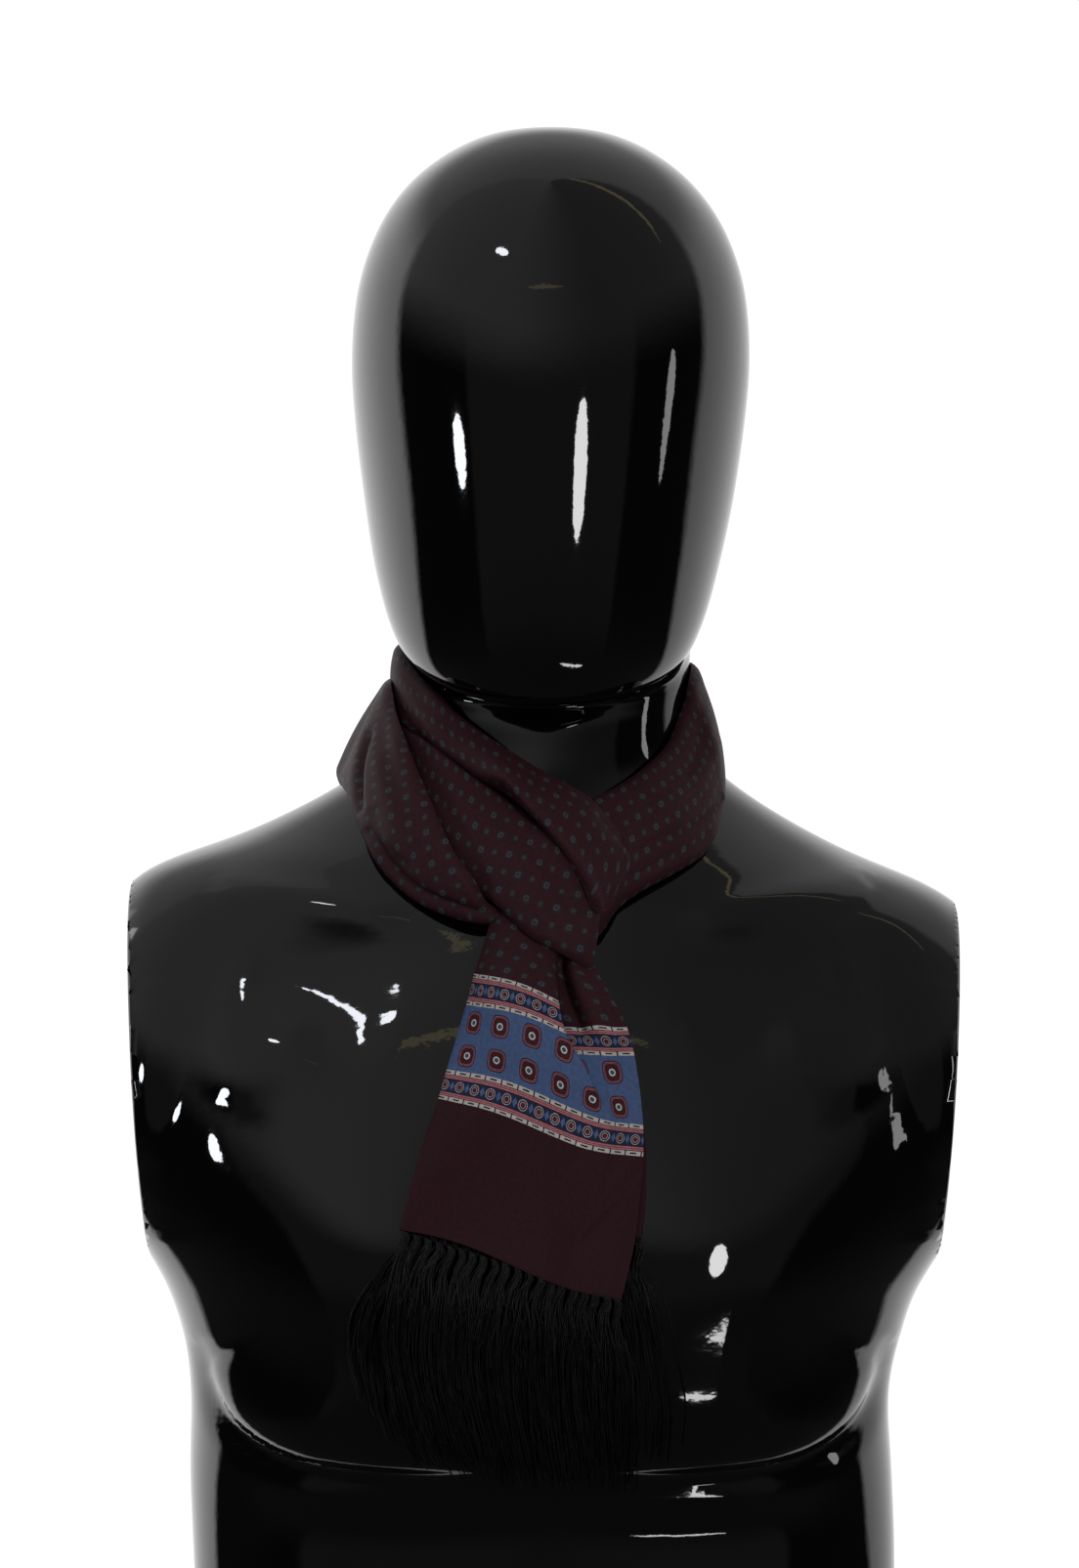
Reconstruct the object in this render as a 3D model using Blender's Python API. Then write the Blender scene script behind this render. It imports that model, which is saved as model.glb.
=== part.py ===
"""A narrow silk scarf with fringed ends, tied with a pulled-through loop, and the limbless display form that it
rests on. The form is a faceless egg head, a neck and a torso down to the waist, with a flat cut at each shoulder
and a flat underside. The scarf is a folded length of twill: its loop lies to the left of the neck, and the ends
come over the right of the neck, pass through the loop and hang down the chest.

The script works in metres, +Z up, front towards -Y. The tables are in millimetres and MM turns them to metres.
The origin is the middle of the form's flat underside."""

from collections import namedtuple
from math import cos, exp, pi, sin

import bmesh
import bpy

MM = 0.001

# ---- driving sizes, in millimetres ----
CLOTH_WALL = 1.6  # both layers of the pressed tube of twill, with the air between them
FRINGE_WALL = 4.5  # the depth that the knotted threads take up
SEAM_TRIM = 0.025  # how much of its last interval a stretch leaves open, to stay 0.3 mm from the next one
PLEAT_RUN = 0.05  # how much of the tail's width the step of its pleat takes

ROUND_STEPS = 40  # faces round the form
HEIGHT_STEPS = 44  # faces up the form
ALONG_STEPS = 22  # faces along a stretch of cloth
ACROSS_STEPS = 6  # faces across it
HALVINGS = 30  # of the table, to find the section at a given height

# The flat cuts at the shoulders: each leans in towards the waist.
ARM_CUT_OUT = 180.2  # from the middle to the cut, at ARM_CUT_HEIGHT
ARM_CUT_HEIGHT = 320
ARM_CUT_LEAN = 0.066  # how far it comes in for each millimetre further down
TORSO_SHIFT = -2  # the torso's middle, measured from the origin

# Horizontal sections of the form, from the crown down. half: half of the width. front, back: how far it reaches
# along Y. middle: where it is widest. round: 2 is an ellipse, less is pointed at the sides, more is boxy.
# nod: rise for each millimetre towards the back. lean: drop for each millimetre to the right.
Section = namedtuple("Section", "height half front back middle round nod lean shift")
FORM = (
    Section(683, 0, 4, 4.2, 4, 2.0, 0, 0, 1),
    Section(679, 28, -31, 38, 4, 2.0, 0, 0, 1),
    Section(668, 50, -58, 63, 3, 2.0, 0, 0, 1),
    Section(653, 66.3, -77, 81, 2, 2.0, 0, 0, 1),
    Section(634, 77.8, -91, 95, 1, 2.0, 0, 0, 1.2),
    Section(610, 85.2, -101, 104, 0, 2.0, 0, 0, 1.2),
    Section(580, 87.5, -107, 107, 0, 2.0, 0, 0, 1),
    Section(550, 85.3, -109, 103, 0, 2.0, 0, 0, 0.6),
    Section(519, 81, -108, 94, 0, 2.0, 0.08, 0, 0.2),
    Section(495, 76.5, -104, 84, 0, 2.0, 0.2, 0, -0.6),
    Section(478, 72, -98, 74, 1, 2.0, 0.34, 0, -0.9),
    Section(468, 68, -90, 68, 3, 2.0, 0.42, 0, -1),
    Section(463, 65, -78, 66, 4, 2.0, 0.45, 0, -0.7),
    Section(459, 63, -66, 65, 4, 2.0, 0.455, 0, 0),
    Section(450, 62.3, -56, 65, 5, 2.0, 0.365, 0, 0),
    Section(440, 62, -56, 65, 5, 2.0, 0.25, 0, 0),
    Section(426, 62.3, -57.5, 66, 6, 2.0, 0.1, 0, 0),
    Section(410, 67, -59.5, 69, 8, 1.85, 0.02, 0.008, -1),
    Section(398, 81, -61.5, 72, 11, 1.65, 0, 0.02, -2),
    Section(384, 103, -63, 78, 14, 1.6, 0, 0.026, -2),
    Section(369, 133, -67, 84, 15, 1.7, 0, 0.028, -2),
    Section(354, 171, -73, 90, 15, 1.85, 0, 0.026, -3),
    Section(338, 190, -80, 95, 14, 2.1, 0, 0.02, -2),
    Section(315, 203, -89, 100, 12, 2.3, 0, 0.01, -2),
    Section(288, 207, -99, 104, 10, 2.4, 0, 0, -2),
    Section(260, 205, -108, 107, 8, 2.4, 0, 0, -2),
    Section(232, 197, -115, 108, 6, 2.4, 0, 0, -2),
    Section(206, 184, -119, 107, 5, 2.4, 0, 0, -2),
    Section(186, 171, -120, 105, 4, 2.4, 0, 0, -2),
    Section(170, 162.5, -119, 103, 4, 2.35, 0, 0, -2.6),
    Section(150, 156.5, -116, 100, 4, 2.3, 0, 0, -2.8),
    Section(126, 153, -111, 96, 4, 2.3, 0, 0, -3.8),
    Section(96, 154, -105, 92, 4, 2.3, 0, 0, -3.4),
    Section(60, 154, -101, 88, 4, 2.3, 0, 0, -2),
    Section(28, 153, -98, 86, 4, 2.3, 0, 0, -1.5),
    Section(0, 151.5, -97, 84, 4, 2.3, 0, 0, -1.5),
)

# Low soft relief on the chest: a broad swelling on each side, and a shallow trough under each collarbone.
Relief = namedtuple("Relief", "out height wide tall rise")
CHEST = (
    Relief(80, 178, 58, 60, 14),
    Relief(74, 122, 66, 30, 9),
    Relief(95, 318, 46, 16, -5),
)

# A stretch of cloth is a row of stations. Each gives the two edges of the cloth there, and how far its middle
# stands out from the straight line between them.
Station = namedtuple("Station", "top_x top_y top_z low_x low_y low_z bulge")

# From the left of the neck across the throat, over the ends, to the loop's right turn.
UPPER_CROSS = (
    Station(-66, 12, 457, -67, 8, 430, 1),
    Station(-65, -6, 453, -67, -12, 426, 1),
    Station(-58, -26, 443, -62, -33, 420, 2),
    Station(-48, -40, 434, -51, -54, 409, 2),
    Station(-39, -49, 425, -39, -66, 400, 3),
    Station(-28, -57, 417, -28, -74, 393, 5),
    Station(-16, -63, 409, -16, -81, 386, 7),
    Station(-5, -68, 402, -6, -88, 379, 8),
    Station(6, -72, 396, 2, -95, 373, 8),
    Station(18, -75, 389, 9, -100, 364, 6),
    Station(27, -81, 379, 13, -102, 358, 4),
    Station(34, -85, 370, 17, -103, 351, 3),
    Station(36, -88.5, 361, 20, -103, 346, 2),
    Station(32, -92, 350, 23, -101, 339, 1),
)
# The lower half of the same cloth, over the tail.
LOOP_FRONT = (
    Station(-64, -28, 420, -66, -29, 412, 0),
    Station(-58, -42, 413, -61, -44, 400, 1),
    Station(-50, -55, 407, -55, -60, 386, 3),
    Station(-39, -64, 398, -50, -71, 374, 5),
    Station(-28, -71, 391, -44, -78, 363, 7),
    Station(-16, -77, 384, -38, -83, 353, 8),
    Station(-6, -83, 377, -30, -88, 348, 8),
    Station(3, -90, 370, -21, -95, 342, 6),
    Station(10, -96, 360, -9, -102, 331, 4),
    Station(16, -98, 350, 2, -103, 325, 3),
    Station(20, -98, 343, 11, -102, 320, 2),
    Station(22, -97, 335, 18, -99, 315, 1),
)
# The loop's outer leg: from behind the tail, round the left of the neck.
OUTER_LEFT = (
    Station(-6, -86, 338, -6, -85, 327, 0),
    Station(-17, -87, 341, -20, -86, 332, 1),
    Station(-25, -92, 343, -31, -87, 333, 2),
    Station(-32, -97, 354, -43, -84, 336, 4),
    Station(-39, -94, 363, -55, -78, 341, 5),
    Station(-45, -88, 374, -66, -70, 349, 6),
    Station(-51, -79, 388, -75, -63, 359, 7),
    Station(-57, -68, 401, -80, -53, 368, 7),
    Station(-63, -53, 415, -84, -41, 377, 6),
    Station(-68, -34, 427, -88, -28, 386, 4),
    Station(-70, -17, 437, -91, -13, 391.5, 2),
    Station(-70, -2, 441, -93, 0, 394, 0),
)
# On round the back of the neck, over the inner leg, to the right.
OUTER_BACK = (
    Station(-70, -2, 441, -93, 0, 394, 0),
    Station(-69, 22, 442, -94, 24, 396, 3),
    Station(-59, 50, 444, -75, 59, 392, 6),
    Station(-37, 72, 446, -46, 80, 386, 5),
    Station(0, 79, 447, 0, 90, 382, 5),
    Station(37, 72, 448, 46, 80, 385, 5),
    Station(59, 51, 448, 70, 58, 392, 4),
    Station(63.5, 20, 448, 75, 21, 405, 1),
)
# The loop's inner leg, which shows above the outer one at the back.
INNER_BACK = (
    Station(-66, 12, 457, -67, 8, 430, 1),
    Station(-58, 40, 460, -59, 41, 430, 0),
    Station(-36, 60, 462, -38, 62, 430, 1),
    Station(0, 70, 463, 0, 72, 430, 1),
    Station(36, 61, 460, 37, 63, 428, 1),
    Station(56, 41, 454, 57, 43, 424, 0),
)
# The ends, laid together: over the right of the neck and down under the upper cross.
RIGHT_BAND = (
    Station(63.5, 20, 448, 75, 21, 405, 1),
    Station(64.5, 4, 447, 77, -3, 400, 2),
    Station(62.5, -12, 439, 77, -26, 387, 3),
    Station(58.5, -20, 427, 75, -41, 376, 4),
    Station(52.5, -34, 413, 70, -55, 366, 5),
    Station(41.5, -49, 402, 58, -68, 358, 7),
    Station(29.5, -60, 394, 41, -79, 349, 7),
    Station(18, -69, 388, 31, -84, 342, 6),
    Station(8, -76, 380, 25, -86, 335, 4),
    Station(-2, -82, 371, 20, -86, 328, 3),
)

# The tail hangs on the chest, so its table gives places on the front of the form and how far off it the cloth is.
# pleat: where the pleat lies, from 0 at the left edge to 1 at the right. fold: how far the right side lies back.
Hang = namedtuple("Hang", "left_x left_z left_off right_x right_z right_off pleat fold bulge")
TAIL_FRONT = (
    Hang(-2.6, 370.4, 18, 19.7, 327.6, 3.5, 0.62, 0, 1),
    Hang(-13, 355, 16, 15, 319, 8, 0.66, 2, 2),
    Hang(-21, 341, 14, 14, 314, 10, 0.68, 4, 2),
    Hang(-25, 328, 14, 20, 309, 12, 0.64, 6, 3),
    Hang(-30, 314, 10, 27, 301, 14, 0.59, 8, 5),
    Hang(-34, 299, 8, 32, 290, 14, 0.58, 7, 8),
    Hang(-40, 279, 7.5, 36, 278, 12, 0.61, 5, 6),
    Hang(-46, 262, 7, 38, 266, 10, 0.66, 3, 4),
    Hang(-53, 241, 7, 39, 248, 8, 0.7, 1, 2),
    Hang(-57, 225, 7.5, 39, 222, 7, 0.7, 0, 2),
    Hang(-62, 209, 6.5, 30, 180, 6.5, 0.7, 0, 1),
)
TAIL_BACK = (
    Hang(-24, 318, 4, 20, 303, 3, 0.5, 0, 0),
    Hang(-34, 286, 3, 33, 281, 2.5, 0.5, 0, 0),
    Hang(-46, 250, 2.2, 40, 250, 2, 0.5, 0, 0),
    Hang(-54, 226, 1.8, 41, 226, 1.8, 0.5, 0, 0),
    Hang(-60, 207, 1.8, 37, 205, 1.8, 0.5, 0, 0),
)
# Fringe: the reach of the threads below each hem.
FRINGE_FRONT = (
    Hang(-62, 208.2, 6.5, 30, 179.2, 6.5, 0.5, 0, 0),
    Hang(-69, 188, 8, 31, 160, 7.5, 0.5, 0, 1),
    Hang(-71, 160, 8, 32, 135, 7.5, 0.5, 0, 1),
    Hang(-66, 132, 7.5, 33, 116, 7, 0.5, 0, 1),
    Hang(-58, 122, 7, 34, 101, 7, 0.5, 0, 0),
)
FRINGE_BACK = (
    Hang(-60, 206.4, 1.9, 37, 204.4, 1.9, 0.5, 0, 0),
    Hang(-79, 180, 2.2, 44, 180, 2.2, 0.5, 0, 0),
    Hang(-84, 160, 2.2, 49, 155, 2.2, 0.5, 0, 0),
    Hang(-80, 137, 2.2, 51, 132, 2.2, 0.5, 0, 0),
    Hang(-70, 125, 2.2, 48, 118, 2.2, 0.5, 0, 0),
)

# Finishes: base colour in linear light, roughness, metallic.
Finish = namedtuple("Finish", "name colour roughness metallic")
GLOSS_BLACK = Finish("gloss_black_lacquer", (0.006, 0.006, 0.006), 0.06, 0)
BURGUNDY_TWILL = Finish("burgundy_silk_twill", (0.032, 0.010, 0.014), 0.5, 0)
BLACK_THREAD = Finish("black_silk_thread", (0.006, 0.006, 0.007), 0.45, 0)


def clear_scene():
    for thing in list(bpy.data.objects):
        bpy.data.objects.remove(thing, do_unlink=True)


def material(finish):
    made = bpy.data.materials.get(finish.name) or bpy.data.materials.new(finish.name)
    made.use_nodes = True
    shader = made.node_tree.nodes["Principled BSDF"]
    shader.inputs["Base Color"].default_value = (*finish.colour, 1)
    shader.inputs["Roughness"].default_value = finish.roughness
    shader.inputs["Metallic"].default_value = finish.metallic
    return made


def add_object(name, bm, finish):
    mesh = bpy.data.meshes.new(name)
    bm.to_mesh(mesh)
    bm.free()
    mesh.shade_smooth()
    mesh.materials.append(material(finish))
    made = bpy.data.objects.new(name, mesh)
    bpy.context.scene.collection.objects.link(made)
    return made


def smooth_row(rows, place):
    """The table's row at a place between its rows, on a smooth curve through them all."""
    place = min(max(place, 0), len(rows) - 1)
    first = min(int(place), len(rows) - 2)
    t = place - first
    before, start, end, after = (rows[min(max(first + step, 0), len(rows) - 1)] for step in (-1, 0, 1, 2))
    values = (
        b + t * ((c - a) / 2 + t * (a - 2.5 * b + 2 * c - d / 2 + t * (1.5 * (b - c) + (d - a) / 2)))
        for a, b, c, d in zip(before, start, end, after)
    )
    return type(rows[0])(*values)


def chest_relief(x, z):
    rise = 0
    for swell in CHEST:
        away = ((abs(x - TORSO_SHIFT) - swell.out) / swell.wide) ** 2 + ((z - swell.height) / swell.tall) ** 2
        rise += swell.rise * exp(-away)
    return rise


def form_point(section, turn):
    """A point of the form on one section. turn runs from 0 to 1, from the right round the back."""
    side, depth = cos(2 * pi * turn), sin(2 * pi * turn)
    power = 2 / section.round
    x = section.half * abs(side) ** power * (1 if side > 0 else -1)
    reach = (section.back if depth > 0 else section.front) - section.middle
    y = section.middle + reach * abs(depth) ** power
    z = section.height + section.nod * (y - section.middle) - section.lean * x
    if depth < 0:
        y -= chest_relief(x + section.shift, z) * abs(depth) ** power
    return x + section.shift, y, z


def chest_front(x, z):
    """The Y of the form's front at a place on the chest."""
    low, high = 0, len(FORM) - 1
    for _ in range(HALVINGS):
        place = (low + high) / 2
        section = smooth_row(FORM, place)
        if section.height - section.lean * x > z:
            low = place
        else:
            high = place
    out = min(abs(x - section.shift) / section.half, 1)
    depth = (1 - out**section.round) ** (1 / section.round)
    return section.middle + (section.front - section.middle) * depth - chest_relief(x, z) * depth


def sheet_grid(along, across, place):
    """A sheet of faces, each corner put where place(u, v) says, in millimetres."""
    bm = bmesh.new()
    bmesh.ops.create_grid(bm, x_segments=along, y_segments=across, size=0.5)
    for corner in bm.verts:
        corner.co = [MM * value for value in place(corner.co.x + 0.5, corner.co.y + 0.5)]
    return bm


def cut_flat(bm, point, outward):
    """Cuts off what lies outside a plane, and closes the cut."""
    everything = bm.verts[:] + bm.edges[:] + bm.faces[:]
    bmesh.ops.bisect_plane(bm, geom=everything, plane_co=point, plane_no=outward, clear_outer=True)
    bmesh.ops.holes_fill(bm, edges=[edge for edge in bm.edges if edge.is_boundary], sides=0)


def display_form():
    def place(u, v):
        return form_point(smooth_row(FORM, (1 - v) * (len(FORM) - 1)), u)

    bm = sheet_grid(ROUND_STEPS, HEIGHT_STEPS, place)
    bmesh.ops.remove_doubles(bm, verts=bm.verts, dist=1e-6)
    bmesh.ops.holes_fill(bm, edges=[edge for edge in bm.edges if edge.is_boundary], sides=0)
    for side in (-1, 1):
        point = (MM * (TORSO_SHIFT + side * ARM_CUT_OUT), 0, MM * ARM_CUT_HEIGHT)
        cut_flat(bm, point, (side, 0, -ARM_CUT_LEAN))
    bmesh.ops.recalc_face_normals(bm, faces=bm.faces)
    if bm.calc_volume(signed=True) < 0:
        bmesh.ops.reverse_faces(bm, faces=bm.faces)
    return add_object("display_form", bm, GLOSS_BLACK)


def add_wall(made, thickness):
    wall = made.modifiers.new("wall", "SOLIDIFY")
    wall.thickness = thickness * MM
    wall.offset = 0
    return made


def wrap(name, stations):
    """A stretch of cloth round the neck. Its bulge is square to the cloth, away from the neck."""

    def place(u, v):
        here = smooth_row(stations, SEAM_TRIM + u * (len(stations) - 1 - 2 * SEAM_TRIM))
        swell = here.bulge * sin(pi * v)
        edges = zip((here.top_x, here.top_y, here.top_z), (here.low_x, here.low_y, here.low_z))
        x, y, z = (top + (low - top) * v for top, low in edges)
        away = (x * x + y * y) ** 0.5
        return x + swell * x / away, y + swell * y / away, z

    return add_wall(add_object(name, sheet_grid(ALONG_STEPS, ACROSS_STEPS, place), BURGUNDY_TWILL), CLOTH_WALL)


def hang(name, rows, along, across, wall, finish):
    """A stretch of cloth or fringe that hangs on the chest."""

    def place(u, v):
        here = smooth_row(rows, u * (len(rows) - 1))
        x = here.left_x + (here.right_x - here.left_x) * v
        z = here.left_z + (here.right_z - here.left_z) * v
        off = here.left_off + (here.right_off - here.left_off) * v + here.bulge * sin(pi * v)
        step = min(max((v - here.pleat) / PLEAT_RUN + 0.5, 0), 1)
        off -= here.fold * step * (1 - max(v - here.pleat, 0) / (1 - here.pleat))
        return x, chest_front(x, z) - off, z

    return add_wall(add_object(name, sheet_grid(along, across, place), finish), wall)


clear_scene()
display_form()
wrap("upper_cross", UPPER_CROSS)
wrap("loop_front", LOOP_FRONT)
wrap("outer_left", OUTER_LEFT)
wrap("outer_back", OUTER_BACK)
wrap("inner_back", INNER_BACK)
wrap("right_band", RIGHT_BAND)
hang("tail_front", TAIL_FRONT, 20, 20, CLOTH_WALL, BURGUNDY_TWILL)
hang("tail_back", TAIL_BACK, 8, 8, CLOTH_WALL, BURGUNDY_TWILL)
hang("fringe_front", FRINGE_FRONT, 8, 10, FRINGE_WALL, BLACK_THREAD)
hang("fringe_back", FRINGE_BACK, 8, 12, FRINGE_WALL / 2, BLACK_THREAD)
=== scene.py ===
"""A narrow silk scarf with fringed ends, tied with a pulled-through loop, on a glossy black display form.

The tables are in millimetres and MM turns them to metres, +Z up, front towards -Y. The origin is the middle
of the form's flat underside. The scarf is one long tube of printed twill, pressed flat. Its loop lies to the
left of the neck, and the ends come over its right, pass through the loop and hang down the chest."""

from collections import namedtuple
from functools import partial
from math import pi

import bmesh
import bpy
import numpy as np
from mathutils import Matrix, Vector


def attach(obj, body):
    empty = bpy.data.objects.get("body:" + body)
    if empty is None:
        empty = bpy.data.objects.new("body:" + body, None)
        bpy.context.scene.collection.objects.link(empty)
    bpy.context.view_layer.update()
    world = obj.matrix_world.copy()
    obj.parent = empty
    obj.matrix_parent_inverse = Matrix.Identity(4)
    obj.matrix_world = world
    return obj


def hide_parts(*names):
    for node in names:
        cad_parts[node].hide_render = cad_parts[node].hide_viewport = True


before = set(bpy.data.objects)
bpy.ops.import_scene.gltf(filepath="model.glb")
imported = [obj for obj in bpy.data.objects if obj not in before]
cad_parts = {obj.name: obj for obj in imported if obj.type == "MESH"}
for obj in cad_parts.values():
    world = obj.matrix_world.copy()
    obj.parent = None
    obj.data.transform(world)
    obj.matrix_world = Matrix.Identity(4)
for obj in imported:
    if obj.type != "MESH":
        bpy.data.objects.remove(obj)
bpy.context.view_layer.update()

MM = 0.001

# ---- the display form ----
FORM_ROUND = 168  # faces round the form
FORM_HEIGHT = 300  # faces up it
ARM_CUT_OUT = 180.2  # from the middle to the flat cut at each shoulder, at ARM_CUT_HEIGHT
ARM_CUT_HEIGHT = 320
ARM_CUT_LEAN = 0.066  # how far it comes in for each millimetre further down
ARM_CUT_EDGE = 1.6  # the rounding round each cut
TORSO_SHIFT = -2

# Horizontal sections, from the crown down. half: half of the width. front, back: its reach along Y.
# middle: where it is widest. round: 2 is an ellipse, less is pointed at the sides, more is boxy.
# nod: rise for each millimetre towards the back. lean: drop for each millimetre to the right.
Section = namedtuple("Section", "height half front back middle round nod lean shift")
FORM = (
    Section(683, 0, 4, 4.2, 4, 2.0, 0, 0, 1),
    Section(679, 28, -31, 38, 4, 2.0, 0, 0, 1),
    Section(668, 50, -58, 63, 3, 2.0, 0, 0, 1),
    Section(653, 66.3, -77, 81, 2, 2.0, 0, 0, 1),
    Section(634, 77.8, -91, 95, 1, 2.0, 0, 0, 1.2),
    Section(610, 85.2, -101, 104, 0, 2.0, 0, 0, 1.2),
    Section(580, 87.5, -107, 107, 0, 2.0, 0, 0, 1),
    Section(550, 85.3, -109, 103, 0, 2.0, 0, 0, 0.6),
    Section(519, 81, -108, 94, 0, 2.0, 0.08, 0, 0.2),
    Section(495, 76.5, -104, 84, 0, 2.0, 0.2, 0, -0.6),
    Section(478, 72, -98, 74, 1, 2.0, 0.34, 0, -0.9),
    Section(468, 68, -90, 68, 3, 2.0, 0.42, 0, -1),
    Section(463, 65, -78, 66, 4, 2.0, 0.45, 0, -0.7),
    Section(459, 63, -66, 65, 4, 2.0, 0.455, 0, 0),
    Section(450, 62.3, -56, 65, 5, 2.0, 0.365, 0, 0),
    Section(440, 62, -56, 65, 5, 2.0, 0.25, 0, 0),
    Section(426, 62.3, -57.5, 66, 6, 2.0, 0.1, 0, 0),
    Section(410, 67, -59.5, 69, 8, 1.85, 0.02, 0.008, -1),
    Section(398, 81, -61.5, 72, 11, 1.65, 0, 0.02, -2),
    Section(384, 103, -63, 78, 14, 1.6, 0, 0.026, -2),
    Section(369, 133, -67, 84, 15, 1.7, 0, 0.028, -2),
    Section(354, 171, -73, 90, 15, 1.85, 0, 0.026, -3),
    Section(338, 190, -80, 95, 14, 2.1, 0, 0.02, -2),
    Section(315, 203, -89, 100, 12, 2.3, 0, 0.01, -2),
    Section(288, 207, -99, 104, 10, 2.4, 0, 0, -2),
    Section(260, 205, -108, 107, 8, 2.4, 0, 0, -2),
    Section(232, 197, -115, 108, 6, 2.4, 0, 0, -2),
    Section(206, 184, -119, 107, 5, 2.4, 0, 0, -2),
    Section(186, 171, -120, 105, 4, 2.4, 0, 0, -2),
    Section(170, 162.5, -119, 103, 4, 2.35, 0, 0, -2.6),
    Section(150, 156.5, -116, 100, 4, 2.3, 0, 0, -2.8),
    Section(126, 153, -111, 96, 4, 2.3, 0, 0, -3.8),
    Section(96, 154, -105, 92, 4, 2.3, 0, 0, -3.4),
    Section(60, 154, -101, 88, 4, 2.3, 0, 0, -2),
    Section(28, 153, -98, 86, 4, 2.3, 0, 0, -1.5),
    Section(0, 151.5, -97, 84, 4, 2.3, 0, 0, -1.5),
)

# Soft relief on the chest, the same on both sides: a broad swelling with a smaller one under it, and a
# shallow trough under the collarbone.
Relief = namedtuple("Relief", "out height wide tall rise")
CHEST = (
    Relief(80, 178, 58, 60, 14),
    Relief(74, 122, 66, 30, 9),
    Relief(95, 318, 46, 16, -5),
)

# ---- the cloth ----
CLOTH_WALL = 1.4  # both layers of the pressed tube, with the air between them
SCARF_WIDTH = 92

# A stretch of cloth is a row of stations. Each gives the two edges of the cloth, and how far its middle
# stands out from the straight line between them.
Station = namedtuple("Station", "top_x top_y top_z low_x low_y low_z bulge")

# The loop's outer leg from behind the tail, round the left of the neck and its back, and then the two ends,
# laid together, over the right of the neck and down under the upper cross.
OUTER_WRAP = (
    Station(-6, -86, 338, -6, -85, 327, 0),
    Station(-17, -87, 341, -20, -86, 332, 1),
    Station(-25, -92, 343, -31, -87, 333, 2),
    Station(-32, -97, 354, -43, -84, 336, 4),
    Station(-39, -94, 363, -55, -78, 341, 5),
    Station(-45, -88, 374, -66, -70, 349, 6),
    Station(-51, -79, 388, -75, -63, 359, 7),
    Station(-57, -68, 401, -80, -53, 368, 7),
    Station(-63, -53, 415, -84, -41, 377, 6),
    Station(-68, -34, 427, -88, -28, 386, 4),
    Station(-70, -17, 437, -91, -13, 391.5, 2),
    Station(-70, -2, 441, -93, 0, 394, 0),
    Station(-69, 22, 442, -94, 24, 396, 3),
    Station(-59, 50, 444, -75, 59, 392, 6),
    Station(-37, 72, 446, -46, 80, 386, 5),
    Station(0, 79, 447, 0, 90, 382, 5),
    Station(37, 72, 448, 46, 80, 385, 5),
    Station(59, 51, 448, 70, 58, 392, 4),
    Station(63.5, 20, 448, 75, 21, 405, 1),
    Station(64.5, 4, 447, 77, -3, 400, 2),
    Station(62.5, -12, 439, 77, -26, 387, 3),
    Station(58.5, -20, 427, 75, -41, 376, 4),
    Station(52.5, -34, 413, 70, -55, 366, 5),
    Station(41.5, -49, 402, 58, -68, 358, 7),
    Station(29.5, -60, 394, 41, -79, 349, 7),
    Station(18, -69, 388, 31, -84, 342, 6),
    Station(8, -76, 380, 25, -86, 335, 4),
    Station(-2, -82, 371, 20, -86, 328, 3),
)

# The loop's inner leg, from the right of the neck round its back and over the throat. Its free fold edge is
# at the top, and ridge is where the cloth turns in to the valley between it and the lower half of the cloth.
Cross = namedtuple("Cross", "top_x top_y top_z ridge_x ridge_y ridge_z low_x low_y low_z bulge")
INNER_WRAP = (
    Cross(56, 41, 454, 57, 43, 431, 56, 42, 424, 0),
    Cross(36, 61, 460, 37, 64, 436, 36, 62, 428, 1),
    Cross(0, 70, 463, 0, 73, 438, 0, 71, 430, 1),
    Cross(-36, 60, 462, -38, 64, 438, -37, 61, 430, 1),
    Cross(-58, 40, 460, -60, 43, 438, -58, 40, 430, 0),
    Cross(-66, 12, 457, -68, 9, 438, -66, 9, 430, 1),
    Cross(-65, -6, 453, -67.5, -12, 433, -66, -11, 426, 1),
    Cross(-58, -24, 443, -61.2, -31.8, 424.2, -62, -33, 419.5, 2),
    Cross(-48, -39, 434, -50.4, -51.5, 413.2, -49.5, -46, 410.5, 2.5),
    Cross(-39, -48, 425, -39, -62, 404.6, -38.5, -55.5, 402, 3),
    Cross(-28, -56, 417, -28.5, -71.5, 397.5, -28, -61, 395, 3.5),
    Cross(-16, -62, 409, -18.5, -82, 395, -18, -65.5, 389.5, 4),
    Cross(-5, -67, 402, -8.9, -91.5, 384, -8, -69.5, 381.5, 4.5),
    Cross(6, -71, 396, 1.5, -97.5, 373, 0.5, -87, 373, 5),
    Cross(18, -74, 389, 9, -99.5, 364, 6, -91, 366, 4),
    Cross(27, -80, 379, 15, -101, 356, 10, -94, 359, 3),
    Cross(33, -84, 370, 19, -101.5, 349.5, 14, -96, 353, 2),
    Cross(35, -87.5, 361, 21.5, -102, 344, 16, -97, 348, 1),
    Cross(31, -91, 350, 23, -101, 339, 18, -97, 342, 1),
)
RIDGE_AT = 0.8  # where the ridge lies across the cloth, from its top edge to its low edge

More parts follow.
